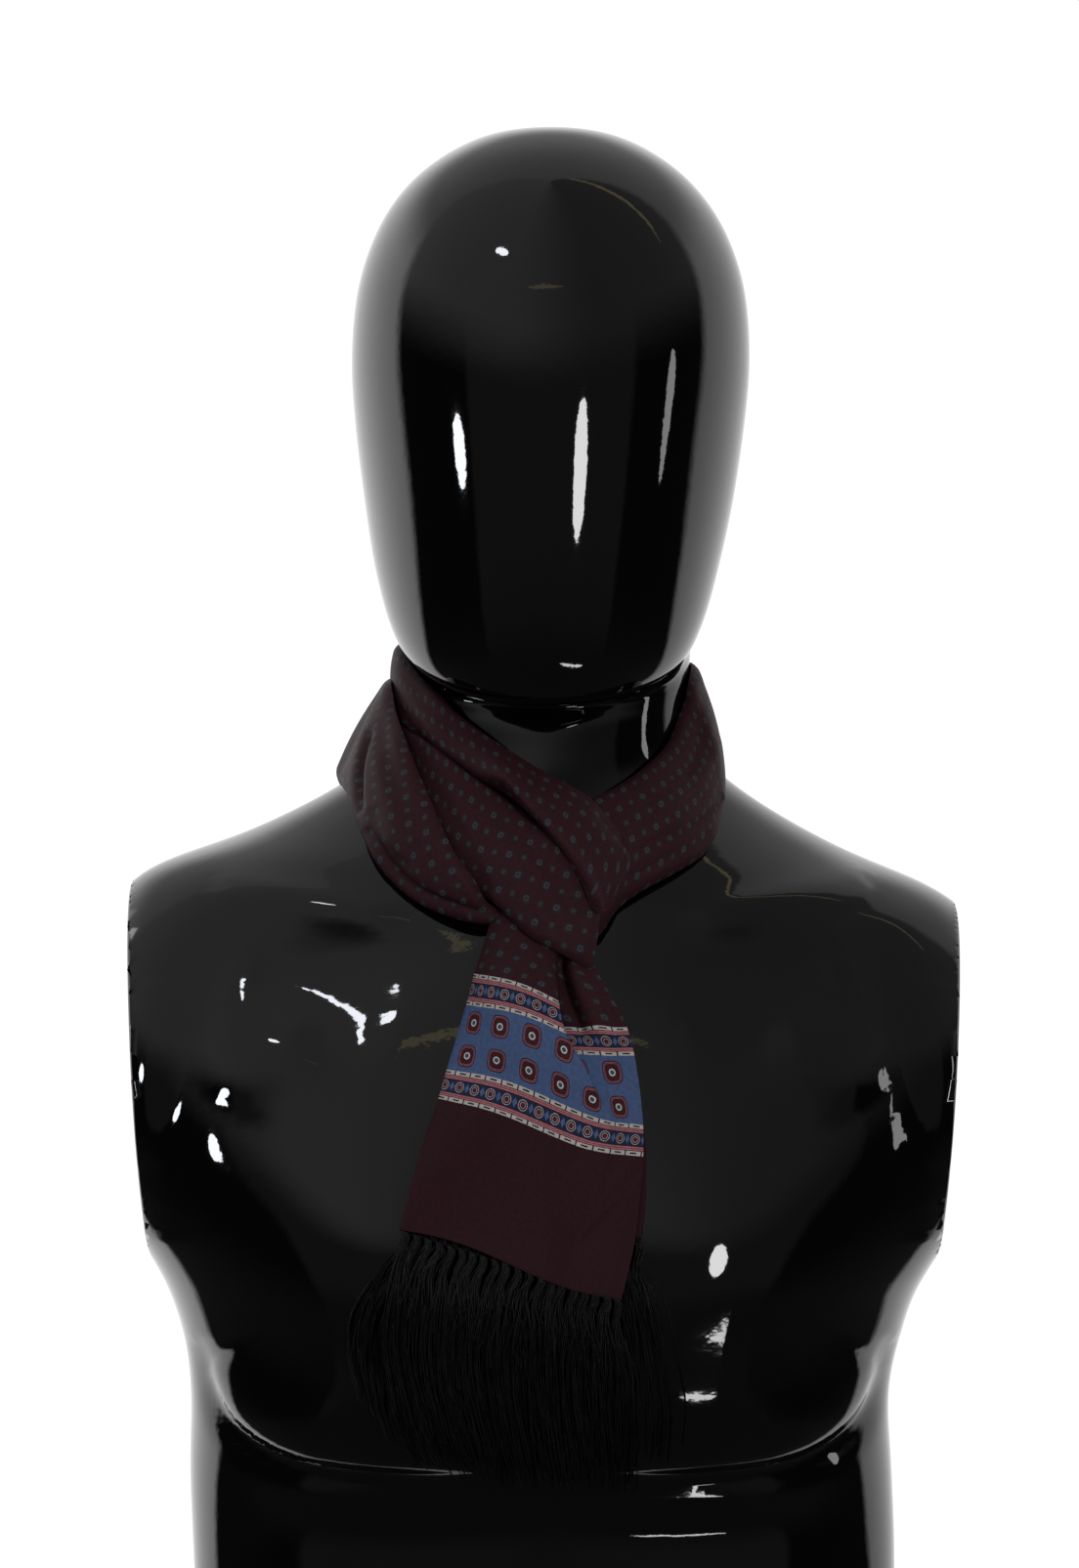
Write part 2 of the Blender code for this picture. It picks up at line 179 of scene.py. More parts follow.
# The lower half of the same cloth, over the tail, to the right turn. Here top is its low edge, and ridge is
# where it turns in to the valley.
LOOP_FRONT = (
    Cross(-66, -29, 412, -64, -28, 420, -63.5, -24, 421, 0),
    Cross(-61, -44, 400, -58, -40, 415, -57, -36, 416, 1),
    Cross(-55, -60, 386, -50, -51, 410.5, -49, -45, 409.5, 2),
    Cross(-50, -71, 374, -39, -62, 402, -38, -54.5, 401, 3),
    Cross(-44, -78, 363, -28, -69.5, 393.5, -28, -60.5, 394, 5),
    Cross(-38, -83, 353, -17, -76, 385.5, -18, -64.5, 388, 6),
    Cross(-30, -88, 348, -6, -84, 377.5, -8, -68.5, 380, 6),
    Cross(-21, -95, 342, 2, -90.5, 370.5, 1, -86, 371.5, 5),
    Cross(-9, -102, 331, 9, -94, 361, 9.5, -91.5, 362, 4),
    Cross(2, -103, 325, 15, -94, 351, 15.5, -92, 352, 3),
    Cross(11, -102, 320, 19, -95, 344, 19.3, -93, 345, 2),
    Cross(18, -99, 315, 21, -96, 336, 21.2, -94.5, 337, 1),
)

# The tail hangs on the chest, so each row gives places on the front of the form and how far off it the cloth
# is. reach: distance up from the hem. lip: the pleat's free edge. back: the bottom of the fold behind it.
Hang = namedtuple(
    "Hang",
    "reach left_x left_z left_off lip_x lip_z lip_off back_x back_z back_off right_x right_z right_off",
)
TAIL_FRONT = (
    Hang(0, -62, 209, 6.5, -15, 194.2, 8, 5, 187.9, 8, 30, 180, 6.5),
    Hang(20, -57, 228, 6, -6, 212.4, 10, 12, 207, 10, 34.8, 200, 7),
    Hang(40, -51.5, 246.5, 5.5, 3, 229.7, 13, 18, 225, 12, 37.5, 219, 7),
    Hang(56, -46, 262, 4.5, 14, 244.5, 15.5, 24, 242.2, 13.5, 39.2, 238.5, 7),
    Hang(68.5, -42.5, 274, 4.2, 20, 257, 17, 26, 255, 15.5, 39.3, 251.5, 7.5),
    Hang(82, -38.5, 287, 4, 17, 271.7, 21.5, 19.5, 267.5, 15.5, 38, 266, 8.5),
    Hang(95.5, -34.5, 300.5, 4, 6.8, 289.7, 23, 9, 280.5, 9, 35.9, 279.8, 10),
    Hang(108, -31, 313.5, 4, 3.6, 303, 22, 4.6, 291.5, 6, 32.9, 291.7, 11),
    Hang(120, -27.5, 324.5, 5.5, 3.2, 312.5, 17.5, 4.2, 303, 6, 27.5, 302.5, 11),
    Hang(132, -24, 336, 7, 3.8, 321, 14, 5, 313, 6.5, 22, 312, 10),
    Hang(145, -19, 347, 8, 4, 331, 12, 6, 322, 7, 18, 320, 9),
    Hang(160, -12, 360, 8, 4, 342, 10, 7, 332, 7, 15, 328, 8),
)
TAIL_BACK = (
    Hang(0, -56, 207, 1.8, -16, 206, 1.8, 12, 205.5, 1.8, 38.5, 205, 1.8),
    Hang(20, -49, 226, 1.8, -12, 226, 1.8, 14, 226, 1.8, 40.5, 226, 1.8),
    Hang(44, -40, 250, 1.8, -8, 250, 2.2, 15, 250, 2.2, 40, 250, 2),
    Hang(78, -28, 286, 2, -6, 284, 3, 12, 283, 3, 33, 281, 2.5),
    Hang(105, -18, 318, 3, -4, 312, 4, 8, 308, 4, 20, 303, 3),
)
LIP_AT = 0.43  # where the lip and the fold's bottom lie across the cloth
BACK_AT = 0.7
LEFT_RISE = 2.4  # how much the print's rows bow up, left of the pleat
RISE_FROM = (58, 78)  # how far up from the hem this sets in
SWAY = 0.08  # how much the rows bend to an S, as a share of their drop from left to right
SWAY_UNTIL = (68, 104)  # how far up from the hem this dies away
FOLD_FROM = (64, 74)  # how far up from the hem the pleat starts to take cloth in

# ---- the fringe: each row is one height of the threads, from the hem down ----
Threads = namedtuple("Threads", "left_x left_z left_off right_x right_z right_off")
FRINGE_FRONT = (
    Threads(-62, 209, 6.5, 30, 180, 6.5),
    Threads(-68, 186, 8, 31, 160, 7.5),
    Threads(-71, 161, 8, 31.5, 142, 7.5),
    Threads(-66, 136, 7.5, 32, 124, 7),
    Threads(-54, 102, 7, 33, 98, 7),
)
FRINGE_BACK = (
    Threads(-60, 207, 1.9, 38, 205, 1.9),
    Threads(-78, 180, 2.2, 45, 182, 2.2),
    Threads(-83, 160, 2.2, 50, 158, 2.2),
    Threads(-80, 137, 2.2, 52, 134, 2.2),
    Threads(-68, 108, 2.2, 49, 110, 2.2),
)
THREAD = 0.26  # half the thickness of a thread, thicker than real silk so that fewer fill the fringe
THREAD_POINTS = 13
HEADING = 0.22  # the looped heading at the hem, as a share of a thread
HEADING_SWING = 1.3
BUNDLE_HALF = 0.34  # of a bundle at the hem, as a share of the bundles' spacing
BUNDLE_DEEP = 0.9
TWIST = 9  # how far the threads of a bundle turn round each other, in radians
USUAL_LENGTH = 0.93  # of the table's reach, with the longest threads at 1
SHORT_LEFT = 0.2  # how much shorter the threads at the left end are


def smooth_rows(rows, places):
    """The table's values at places between its rows, on a smooth curve through them all."""
    table = np.array(rows, float)
    places = np.clip(places, 0, len(table) - 1)
    first = np.minimum(places.astype(int), len(table) - 2)
    t = (places - first)[..., None]
    a, b, c, d = (table[np.clip(first + step, 0, len(table) - 1)] for step in (-1, 0, 1, 2))
    return b + t * ((c - a) / 2 + t * (a - 2.5 * b + 2 * c - d / 2 + t * (1.5 * (b - c) + (d - a) / 2)))


def soften(values, times, axis=0):
    """Evens out small bends in rows of points, and leaves the two ends where they are."""
    values = np.moveaxis(np.array(values, float), axis, 0)
    for _ in range(times):
        values[1:-1] = (values[:-2] + 2 * values[1:-1] + values[2:]) / 4
    return np.moveaxis(values, 0, axis)


def chest_relief(x, z):
    """How far the relief stands out at places on the chest."""
    rise = np.zeros(np.broadcast(x, z).shape)
    for swell in CHEST:
        out = (np.abs(x - TORSO_SHIFT) - swell.out) / swell.wide
        up = (z - swell.height) / swell.tall
        rise += swell.rise * np.exp(-(out**2 + up**2))
    return rise


FORM_ROWS = soften(smooth_rows(FORM, np.linspace(0, len(FORM) - 1, FORM_HEIGHT + 1)), 5)


def form_points(turns):
    """The form's points: a row for each section from the crown down, with a place in it for each turn."""
    height, half, front, back, middle, roundness, nod, lean, shift = (
        column[:, None] for column in FORM_ROWS.T
    )
    side, depth = np.cos(2 * pi * turns)[None], np.sin(2 * pi * turns)[None]
    power = 2 / roundness
    x = half * np.abs(side) ** power * np.sign(side)
    reach = np.where(depth > 0, back, front) - middle
    y = middle + reach * np.abs(depth) ** power
    z = height + nod * (y - middle) - lean * x
    y = y - np.where(depth < 0, chest_relief(x + shift, z) * np.abs(depth) ** power, 0)
    return np.stack([x + shift, y, z], axis=-1)


def chest_front(x, z):
    """The Y of the form's front at places on the chest."""
    x, z = np.broadcast_arrays(x, z)
    rows = FORM_ROWS[::-1]
    row = [np.interp(z, rows[:, 0], rows[:, column]) for column in range(rows.shape[1])]
    row = [np.interp(z + row[7] * x, rows[:, 0], rows[:, column]) for column in range(rows.shape[1])]
    _, half, front, _, middle, roundness, _, _, shift = row
    out = np.clip(np.abs(x - shift) / half, 0, 1)
    depth = (1 - out**roundness) ** (1 / roundness)
    return middle + (front - middle) * depth - chest_relief(x, z) * depth


# ---- finishes ----
def shade(code):
    """A colour for a node, from its sRGB hex value."""
    parts = [int(code[at : at + 2], 16) / 255 for at in (0, 2, 4)]
    return [(p / 12.92 if p <= 0.04045 else ((p + 0.055) / 1.055) ** 2.4) for p in parts] + [1]


def add(tree, kind, *sources, stops=(), **settings):
    """Adds a node with its settings, links what comes in, and returns it. A source is a value, a node, which
    stands for its first output, or a node with the name of an output."""
    made = tree.nodes.new(kind)
    for name, value in settings.items():
        setattr(made, name, value)
    if stops:
        ramp = made.color_ramp
        ramp.interpolation = "CONSTANT"
        for at, code in stops[1:-1]:
            ramp.elements.new(at)
        for element, (at, code) in zip(ramp.elements, stops):
            element.position, element.color = at, shade(code)
    for place, source in enumerate(sources):
        if source is None:
            continue
        if isinstance(source, bpy.types.Node):
            source = (source, 0)
        if isinstance(source, tuple) and isinstance(source[0], bpy.types.Node):
            tree.links.new(source[0].outputs[source[1]], made.inputs[place])
        else:
            made.inputs[place].default_value = source
    return made


def finish_of(name, colour, roughness, **more):
    """A material with its Principled shader's own values set, and its node tree and shader."""
    made = bpy.data.materials.new(name)
    made.use_nodes = True
    shader = made.node_tree.nodes["Principled BSDF"]
    shader.inputs["Base Color"].default_value = shade(colour)
    shader.inputs["Roughness"].default_value = roughness
    for socket, value in more.items():
        shader.inputs[socket.replace("_", " ")].default_value = value
    return made, made.node_tree, shader


LACQUER_SWELL = 5.3  # across one of the lacquer's faint swellings


def gloss_lacquer():
    """Glass-fibre shell sprayed with black gloss lacquer: a deep black with mirror reflections, and a very
    slight unevenness that bends them."""
    made, tree, shader = finish_of("black_gloss_lacquer", "050505", 0.035, IOR=1.5)
    place = add(tree, "ShaderNodeTexCoord")
    waves = add(tree, "ShaderNodeTexNoise", (place, "Object"), None, 1 / (LACQUER_SWELL * MM), 2.0)
    bump = add(tree, "ShaderNodeBump", 0.03, 0.001, None, waves)
    tree.links.new(bump.outputs[0], shader.inputs["Normal"])
    return made


def lay_sheet(name, points, print_at, wall=CLOTH_WALL, edge=0.45):
    """A sheet of cloth with its corners at points, and its own UV map in metres of flat cloth."""
    along, across = points.shape[0] - 1, points.shape[1] - 1
    bm = bmesh.new()
    bmesh.ops.create_grid(bm, x_segments=along, y_segments=across, size=0.5)
    cloth = bm.loops.layers.uv.new("cloth")
    spots = {}
    for corner in bm.verts:
        spots[corner] = round((corner.co.x + 0.5) * along), round((corner.co.y + 0.5) * across)
    for face in bm.faces:
        for loop in face.loops:
            loop[cloth].uv = print_at[spots[loop.vert]] * MM
    for corner, spot in spots.items():
        corner.co = points[spot] * MM
    made = add_piece(name, bm)
    thickness = made.modifiers.new("wall", "SOLIDIFY")
    thickness.thickness, thickness.offset = wall * MM, 0
    rim = made.modifiers.new("fold edge", "BEVEL")
    rim.width, rim.segments, rim.limit_method, rim.angle_limit = edge * MM, 2, "ANGLE", 1.2
    return made


def add_piece(name, bm):
    """A smooth-shaded object with the shape of bm."""
    mesh = bpy.data.meshes.new(name)
    bm.to_mesh(mesh)
    bm.free()
    mesh.shade_smooth()
    made = bpy.data.objects.new(name, mesh)
    bpy.context.scene.collection.objects.link(made)
    return made


def settle(piece, material, slot, *nodes):
    """Gives a piece its finish and its body, and hides the parts that it stands for."""
    piece.data.materials.append(material)
    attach(piece, "root")
    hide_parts(*nodes)
    return piece


def cut_flat(bm, point, outward):
    """Cuts off what lies outside a plane, closes the cut and rounds its edge."""
    everything = bm.verts[:] + bm.edges[:] + bm.faces[:]
    cut = bmesh.ops.bisect_plane(bm, geom=everything, plane_co=point, plane_no=outward, clear_outer=True)
    ring = [edge for edge in cut["geom_cut"] if isinstance(edge, bmesh.types.BMEdge)]
    bmesh.ops.holes_fill(bm, edges=ring, sides=0)
    bmesh.ops.bevel(
        bm, geom=ring, offset=ARM_CUT_EDGE * MM, segments=3, profile=0.5, affect="EDGES", material=-1
    )


def make_form():
    """The form's shell, with its modelled lines pressed in and a flat cut at each shoulder."""
    turns = np.linspace(0, 1, FORM_ROUND + 1)
    points = form_points(turns)
    for side in (-1, 1):
        lines = [
            line._replace(line=[(TORSO_SHIFT + side * out, height) for out, height in line.line])
            for line in FORM_LINES
        ]
        points = fold_in(points, lines)
    points[:, -1] = points[:, 0]
    bm = bmesh.new()
    bmesh.ops.create_grid(bm, x_segments=FORM_ROUND, y_segments=FORM_HEIGHT, size=0.5)
    for corner in bm.verts:
        turn = round((corner.co.x + 0.5) * FORM_ROUND)
        down = round((0.5 - corner.co.y) * FORM_HEIGHT)
        corner.co = points[down, turn] * MM
    bmesh.ops.remove_doubles(bm, verts=bm.verts, dist=1e-6)
    bmesh.ops.holes_fill(bm, edges=[edge for edge in bm.edges if edge.is_boundary], sides=0)
    for side in (-1, 1):
        point = (MM * (TORSO_SHIFT + side * ARM_CUT_OUT), 0, MM * ARM_CUT_HEIGHT)
        cut_flat(bm, point, (side, 0, -ARM_CUT_LEAN))
    bmesh.ops.recalc_face_normals(bm, faces=bm.faces)
    if bm.calc_volume(signed=True) < 0:
        bmesh.ops.reverse_faces(bm, faces=bm.faces)
    return add_piece("form_shell", bm)


# ---- cloth shapes ----
def cloth_sizes(points):
    """How far each corner lies along and across its cloth, in millimetres."""
    steps = np.linalg.norm(np.diff(points, axis=0), axis=2)
    along = np.concatenate([np.zeros((1, points.shape[1])), np.cumsum(steps, axis=0)])
    steps = np.linalg.norm(np.diff(points, axis=1), axis=2)
    across = np.concatenate([np.zeros((points.shape[0], 1)), np.cumsum(steps, axis=1)], axis=1)
    return along, across


def outward_of(points, centre=(0, 10)):
    """The cloth's normals, pointing away from the neck."""
    normals = np.cross(np.gradient(points, axis=0), np.gradient(points, axis=1))
    normals /= np.linalg.norm(normals, axis=2, keepdims=True) + 1e-9
    away = points[..., :2] - np.array(centre)
    turned = (normals[..., :2] * away).sum(axis=2).mean() < 0
    return -normals if turned else normals


def roll_edges(points, top, low):
    """Turns the two long edges of a sheet in, each over a reach and by a drop, as pressed fold edges lie."""
    _, across = cloth_sizes(points)
    normals = outward_of(points)
    for (reach, drop), away in ((top, across), (low, across[:, -1:] - across)):
        if reach:
            points = points - normals * (drop * np.clip(1 - away / reach, 0, 1) ** 2)[..., None]
    return points


def fold_in(points, creases):
    """Presses soft troughs and ridges into a surface, each fading out at the ends of its line."""
    normals = outward_of(points)
    flat = points[..., [0, 2]]
    for crease in creases:
        steps = 16 * (len(crease.line) - 1)
        line = smooth_rows(crease.line, np.linspace(0, len(crease.line) - 1, steps + 1))
        away = np.linalg.norm(flat[:, :, None] - line, axis=3)
        fade = np.sin(pi * (away.argmin(axis=2) / steps)) ** 0.6
        facing = np.clip(0.5 + 2 * crease.side * normals[..., 1], 0, 1)
        push = crease.depth * np.exp(-((away.min(axis=2) / crease.width) ** 2)) * fade * facing
        points = points - normals * push[..., None]
    return points


# A soft fold, on a line through places (x, z) in the front view. depth: how far it goes in, or out if it is
# negative.
Crease = namedtuple("Crease", "line depth width side")
FRONT, BACK = -1, 1
OUTER_CREASES = (
    Crease(((-77, 419), (-81.5, 402), (-81, 381)), 4.5, 1.7, FRONT),
    Crease(((-78, 376), (-69, 361), (-58, 351), (-45, 344.5), (-24, 339)), 3.6, 2.0, FRONT),
    Crease(((-76, 384), (-70, 367), (-58, 357)), 1.6, 3.5, FRONT),
    Crease(((-70, 436), (-70, 408), (-58, 372)), 1.0, 4, FRONT),
    Crease(((-74, 410), (-66, 385), (-50, 362)), -1.0, 4, FRONT),
    Crease(((76, 388), (60, 377), (37, 366)), 2.4, 2.6, FRONT),
    Crease(((66, 440), (66, 415), (58, 395)), 1.0, 3, FRONT),
    Crease(((74, 415), (66, 398), (46, 384)), -1.0, 4, FRONT),
    Crease(((70, 372), (50, 362), (30, 352)), 1.2, 3, FRONT),
    Crease(((-70, 420), (-30, 412), (10, 420)), 2.5, 4, BACK),
    Crease(((-50, 400), (-5, 396), (40, 408)), 2, 3.5, BACK),
    Crease(((0, 432), (35, 425), (68, 434)), 2, 4, BACK),
)
INNER_CREASES = (
    Crease(((-64, 446), (-50, 425), (-34, 412)), 0.7, 3, FRONT),
    Crease(((20, 384), (29, 373), (37, 366.5)), 2.2, 2.4, FRONT),
)
LOOP_CREASES = (
    Crease(((-58, 408), (-45, 385), (-24, 362)), 0.8, 4, FRONT),
    Crease(((-40, 392), (-22, 372), (-2, 350)), -0.8, 5, FRONT),
    Crease(((-10, 372), (4, 352), (14, 330)), 0.9, 3.5, FRONT),
)
TAIL_CREASES = (
    Crease(((39, 234), (24, 219), (8, 203)), -0.9, 2, FRONT),
    Crease(((-44, 250), (-26, 238), (-10, 214)), 0.5, 5, FRONT),
    Crease(((-28, 312), (-30, 285), (-40, 250)), 0.7, 5, FRONT),
    Crease(((30, 296), (26, 275), (30, 245)), 0.8, 3.5, FRONT),
    Crease(((3.5, 326), (6, 314), (10, 301), (15, 288)), 4, 2.6, FRONT),
    Crease(((10, 321), (13, 309.5), (17.5, 298), (23, 286)), -5, 4.2, FRONT),
)
# The form's modelled lines, for the right half: under the chest, the fullness over it, the shoulder's groove
# and its swelling, the collarbone, the hollow under it and the chest's upper corner.
UNDER_CHEST = ((150, 156), (141, 127), (127, 113), (105, 104), (76, 100.5), (40, 99.5), (4, 101))
FORM_LINES = (
    Crease(UNDER_CHEST, 5, 5.5, FRONT),
    Crease(((125, 80), (60, 80), (0, 82)), 3, 18, FRONT),
    Crease(((138, 150), (118, 128), (90, 120)), -3, 13, FRONT),
    Crease(((134, 344), (145, 312), (154, 275), (163, 235), (166, 200)), 4, 12, FRONT),
    Crease(((166, 310), (171, 270), (173, 230)), -2, 13, FRONT),
    Crease(((62, 335), (105, 345), (142, 350)), -2.5, 8, FRONT),
    Crease(((66, 294), (98, 302), (128, 314)), 3.5, 16, FRONT),
    Crease(((96, 284), (117, 279), (133, 258)), -2.5, 15, FRONT),
)


PRINT_START = 300  # how far up from the hem the wraps' print starts, well past the border


def print_map(points, turns, true_at):
    """Where each corner lies on the printed cloth. turns: the print's slant to the wrap at its start and its
    end. true_at: rows, as shares of the length, where the print runs straight across the cloth."""
    along, across = cloth_sizes(points)
    middle = along.mean(axis=1, keepdims=True)
    slip = along - middle
    rows = [round(share * (len(points) - 1)) for share in true_at]
    for column in range(points.shape[1]):
        slip[:, column] -= np.interp(np.arange(len(points)), rows, slip[rows, column])
    slant = np.radians(np.linspace(*turns, len(points)))[:, None]
    c, s = np.cos(slant), np.sin(slant)
    step = np.diff(middle, axis=0, prepend=0)
    up, out = np.cumsum(step * c, axis=0), np.cumsum(step * s, axis=0)
    return np.stack([PRINT_START + up + slip * c - across * s, out + slip * s + across * c], axis=-1)


def wrap_points(stations, along, across):
    """The corners of a stretch that bows out between its two edges."""
    rows = smooth_rows(stations, np.linspace(0, len(stations) - 1, along + 1))
    v = np.linspace(0, 1, across + 1)[None, :, None]
    top, low, bulge = rows[:, None, 0:3], rows[:, None, 3:6], rows[:, None, 6:7]
    points = top + (low - top) * v
    away = points * (1, 1, 0)
    return points + bulge * np.sin(pi * v) * away / np.linalg.norm(away, axis=2, keepdims=True)


def cross_points(stations, along, across):
    """The corners of a stretch that bows out as far as its ridge, and turns in from there."""
    rows = smooth_rows(stations, np.linspace(0, len(stations) - 1, along + 1))
    v = np.linspace(0, 1, across + 1)[None, :, None]
    top, ridge, low, bulge = rows[:, None, 0:3], rows[:, None, 3:6], rows[:, None, 6:9], rows[:, None, 9:10]
    above, below = np.clip(v / RIDGE_AT, 0, 1), np.clip((v - RIDGE_AT) / (1 - RIDGE_AT), 0, 1)
    points = top + (ridge - top) * above + (low - ridge) * below
    away = points * (1, 1, 0)
    points = points + bulge * np.sin(pi * above) * away / np.linalg.norm(away, axis=2, keepdims=True)
    return soften(points, 6, axis=1)


def ease(value, start=0, end=1):
    """Goes smoothly from 0 to 1 while value goes from start to end."""
    t = np.clip((value - start) / (end - start), 0, 1)
    return t * t * (3 - 2 * t)


def hang_points(rows, along, across):
    """A tail's corners, and where they lie on the printed cloth."""
    table = smooth_rows(rows, np.linspace(0, len(rows) - 1, along + 1))
    reach = table[:, :1]
    v = np.linspace(0, 1, across + 1)
    left = np.clip(v / LIP_AT, 0, 1)
    wall = ease(v, LIP_AT, BACK_AT)
    right = np.clip((v - BACK_AT) / (1 - BACK_AT), 0, 1)
    places = []
    for column in (1, 2, 3):
        edge, lip, back, end = (table[:, column + step, None] for step in (0, 3, 6, 9))
        near, far = (1 - (1 - left) ** 4, np.sin(pi / 2 * right)) if column == 3 else (left, right)
        places.append(edge + (lip - edge) * near + (back - lip) * wall + (end - back) * far)
    x, z, off = (soften(place, 2, axis=1) for place in places)
    sway = np.sin(2 * pi * (x - x[:, :1]) / (x[:, -1:] - x[:, :1]))
    z = z + SWAY * (z[:, :1] - z[:, -1:]) * sway * (1 - ease(reach, *SWAY_UNTIL))
    z = z + LEFT_RISE * np.sin(pi * left) * ease(reach, *RISE_FROM)
    points = np.stack([x, chest_front(x, z) - off, z], axis=-1)
    _, from_left = cloth_sizes(points)
    hidden = (SCARF_WIDTH - from_left[:, -1:]) * ease(reach, *FOLD_FROM)
    print_at = np.stack([np.broadcast_to(reach, x.shape), from_left + hidden * wall], axis=-1)
    return points, print_at


# ---- the printed silk ----
MATH, VECTOR, RAMP, MIX = "ShaderNodeMath", "ShaderNodeVectorMath", "ShaderNodeValToRGB", "ShaderNodeMixRGB"
GROUND = "351C21"
FIGURED_GROUND = "3B2026"

# The print's chart, in millimetres of flat cloth: up from the hem, and out from the left fold edge.
PLAIN_END = 56
BORDER_MIDDLE, BORDER_HALF = 82.25, 26.3
BAND_HALF = 13.65  # of the blue band in the border's middle
RINGS_FROM_MIDDLE, RING_PITCH, RING_ROW_HALF = 19.9, 7.3, 2.55
SQUARES_FROM_MIDDLE, SQUARE_PITCH, SQUARE_OUT, SQUARE_UP, SQUARE_ROUND = 7.0, 14.6, 4.4, 4.9, 3.2
EYE = 1.95
FIRST_COLUMN = 8.5
DASH_LINE, DASH_LINE_HALF = 5.35, 0.85  # from the middle of the row of rings
DASH_HALF_LONG, DASH_HALF_TALL, DASH_GAP = 1.5, 0.3, 3.35
GROUND_UP, GROUND_OUT = 6.8, 8.0
LARGE_UP, LARGE_OUT, SMALL_UP, SMALL_OUT = 1.6, 1.75, 1.25, 1.4
LEAF_HALF, LEAF_TAPER = 1.1, 0.6  # of the leaf between two rings
TWILL = 0.8  # from one twill line to the next, up the cloth
TWILL_TONE = 0.07
PALEST, DARKEST = 1.1, 0.82  # of the dye
SHAPE_CHART, RING_CHART, LINE_CHART = 2, 4, 10  # what 1 stands for in each kind of chart of colours
DYE_SPOT = 1.7  # across one uneven place in the dye


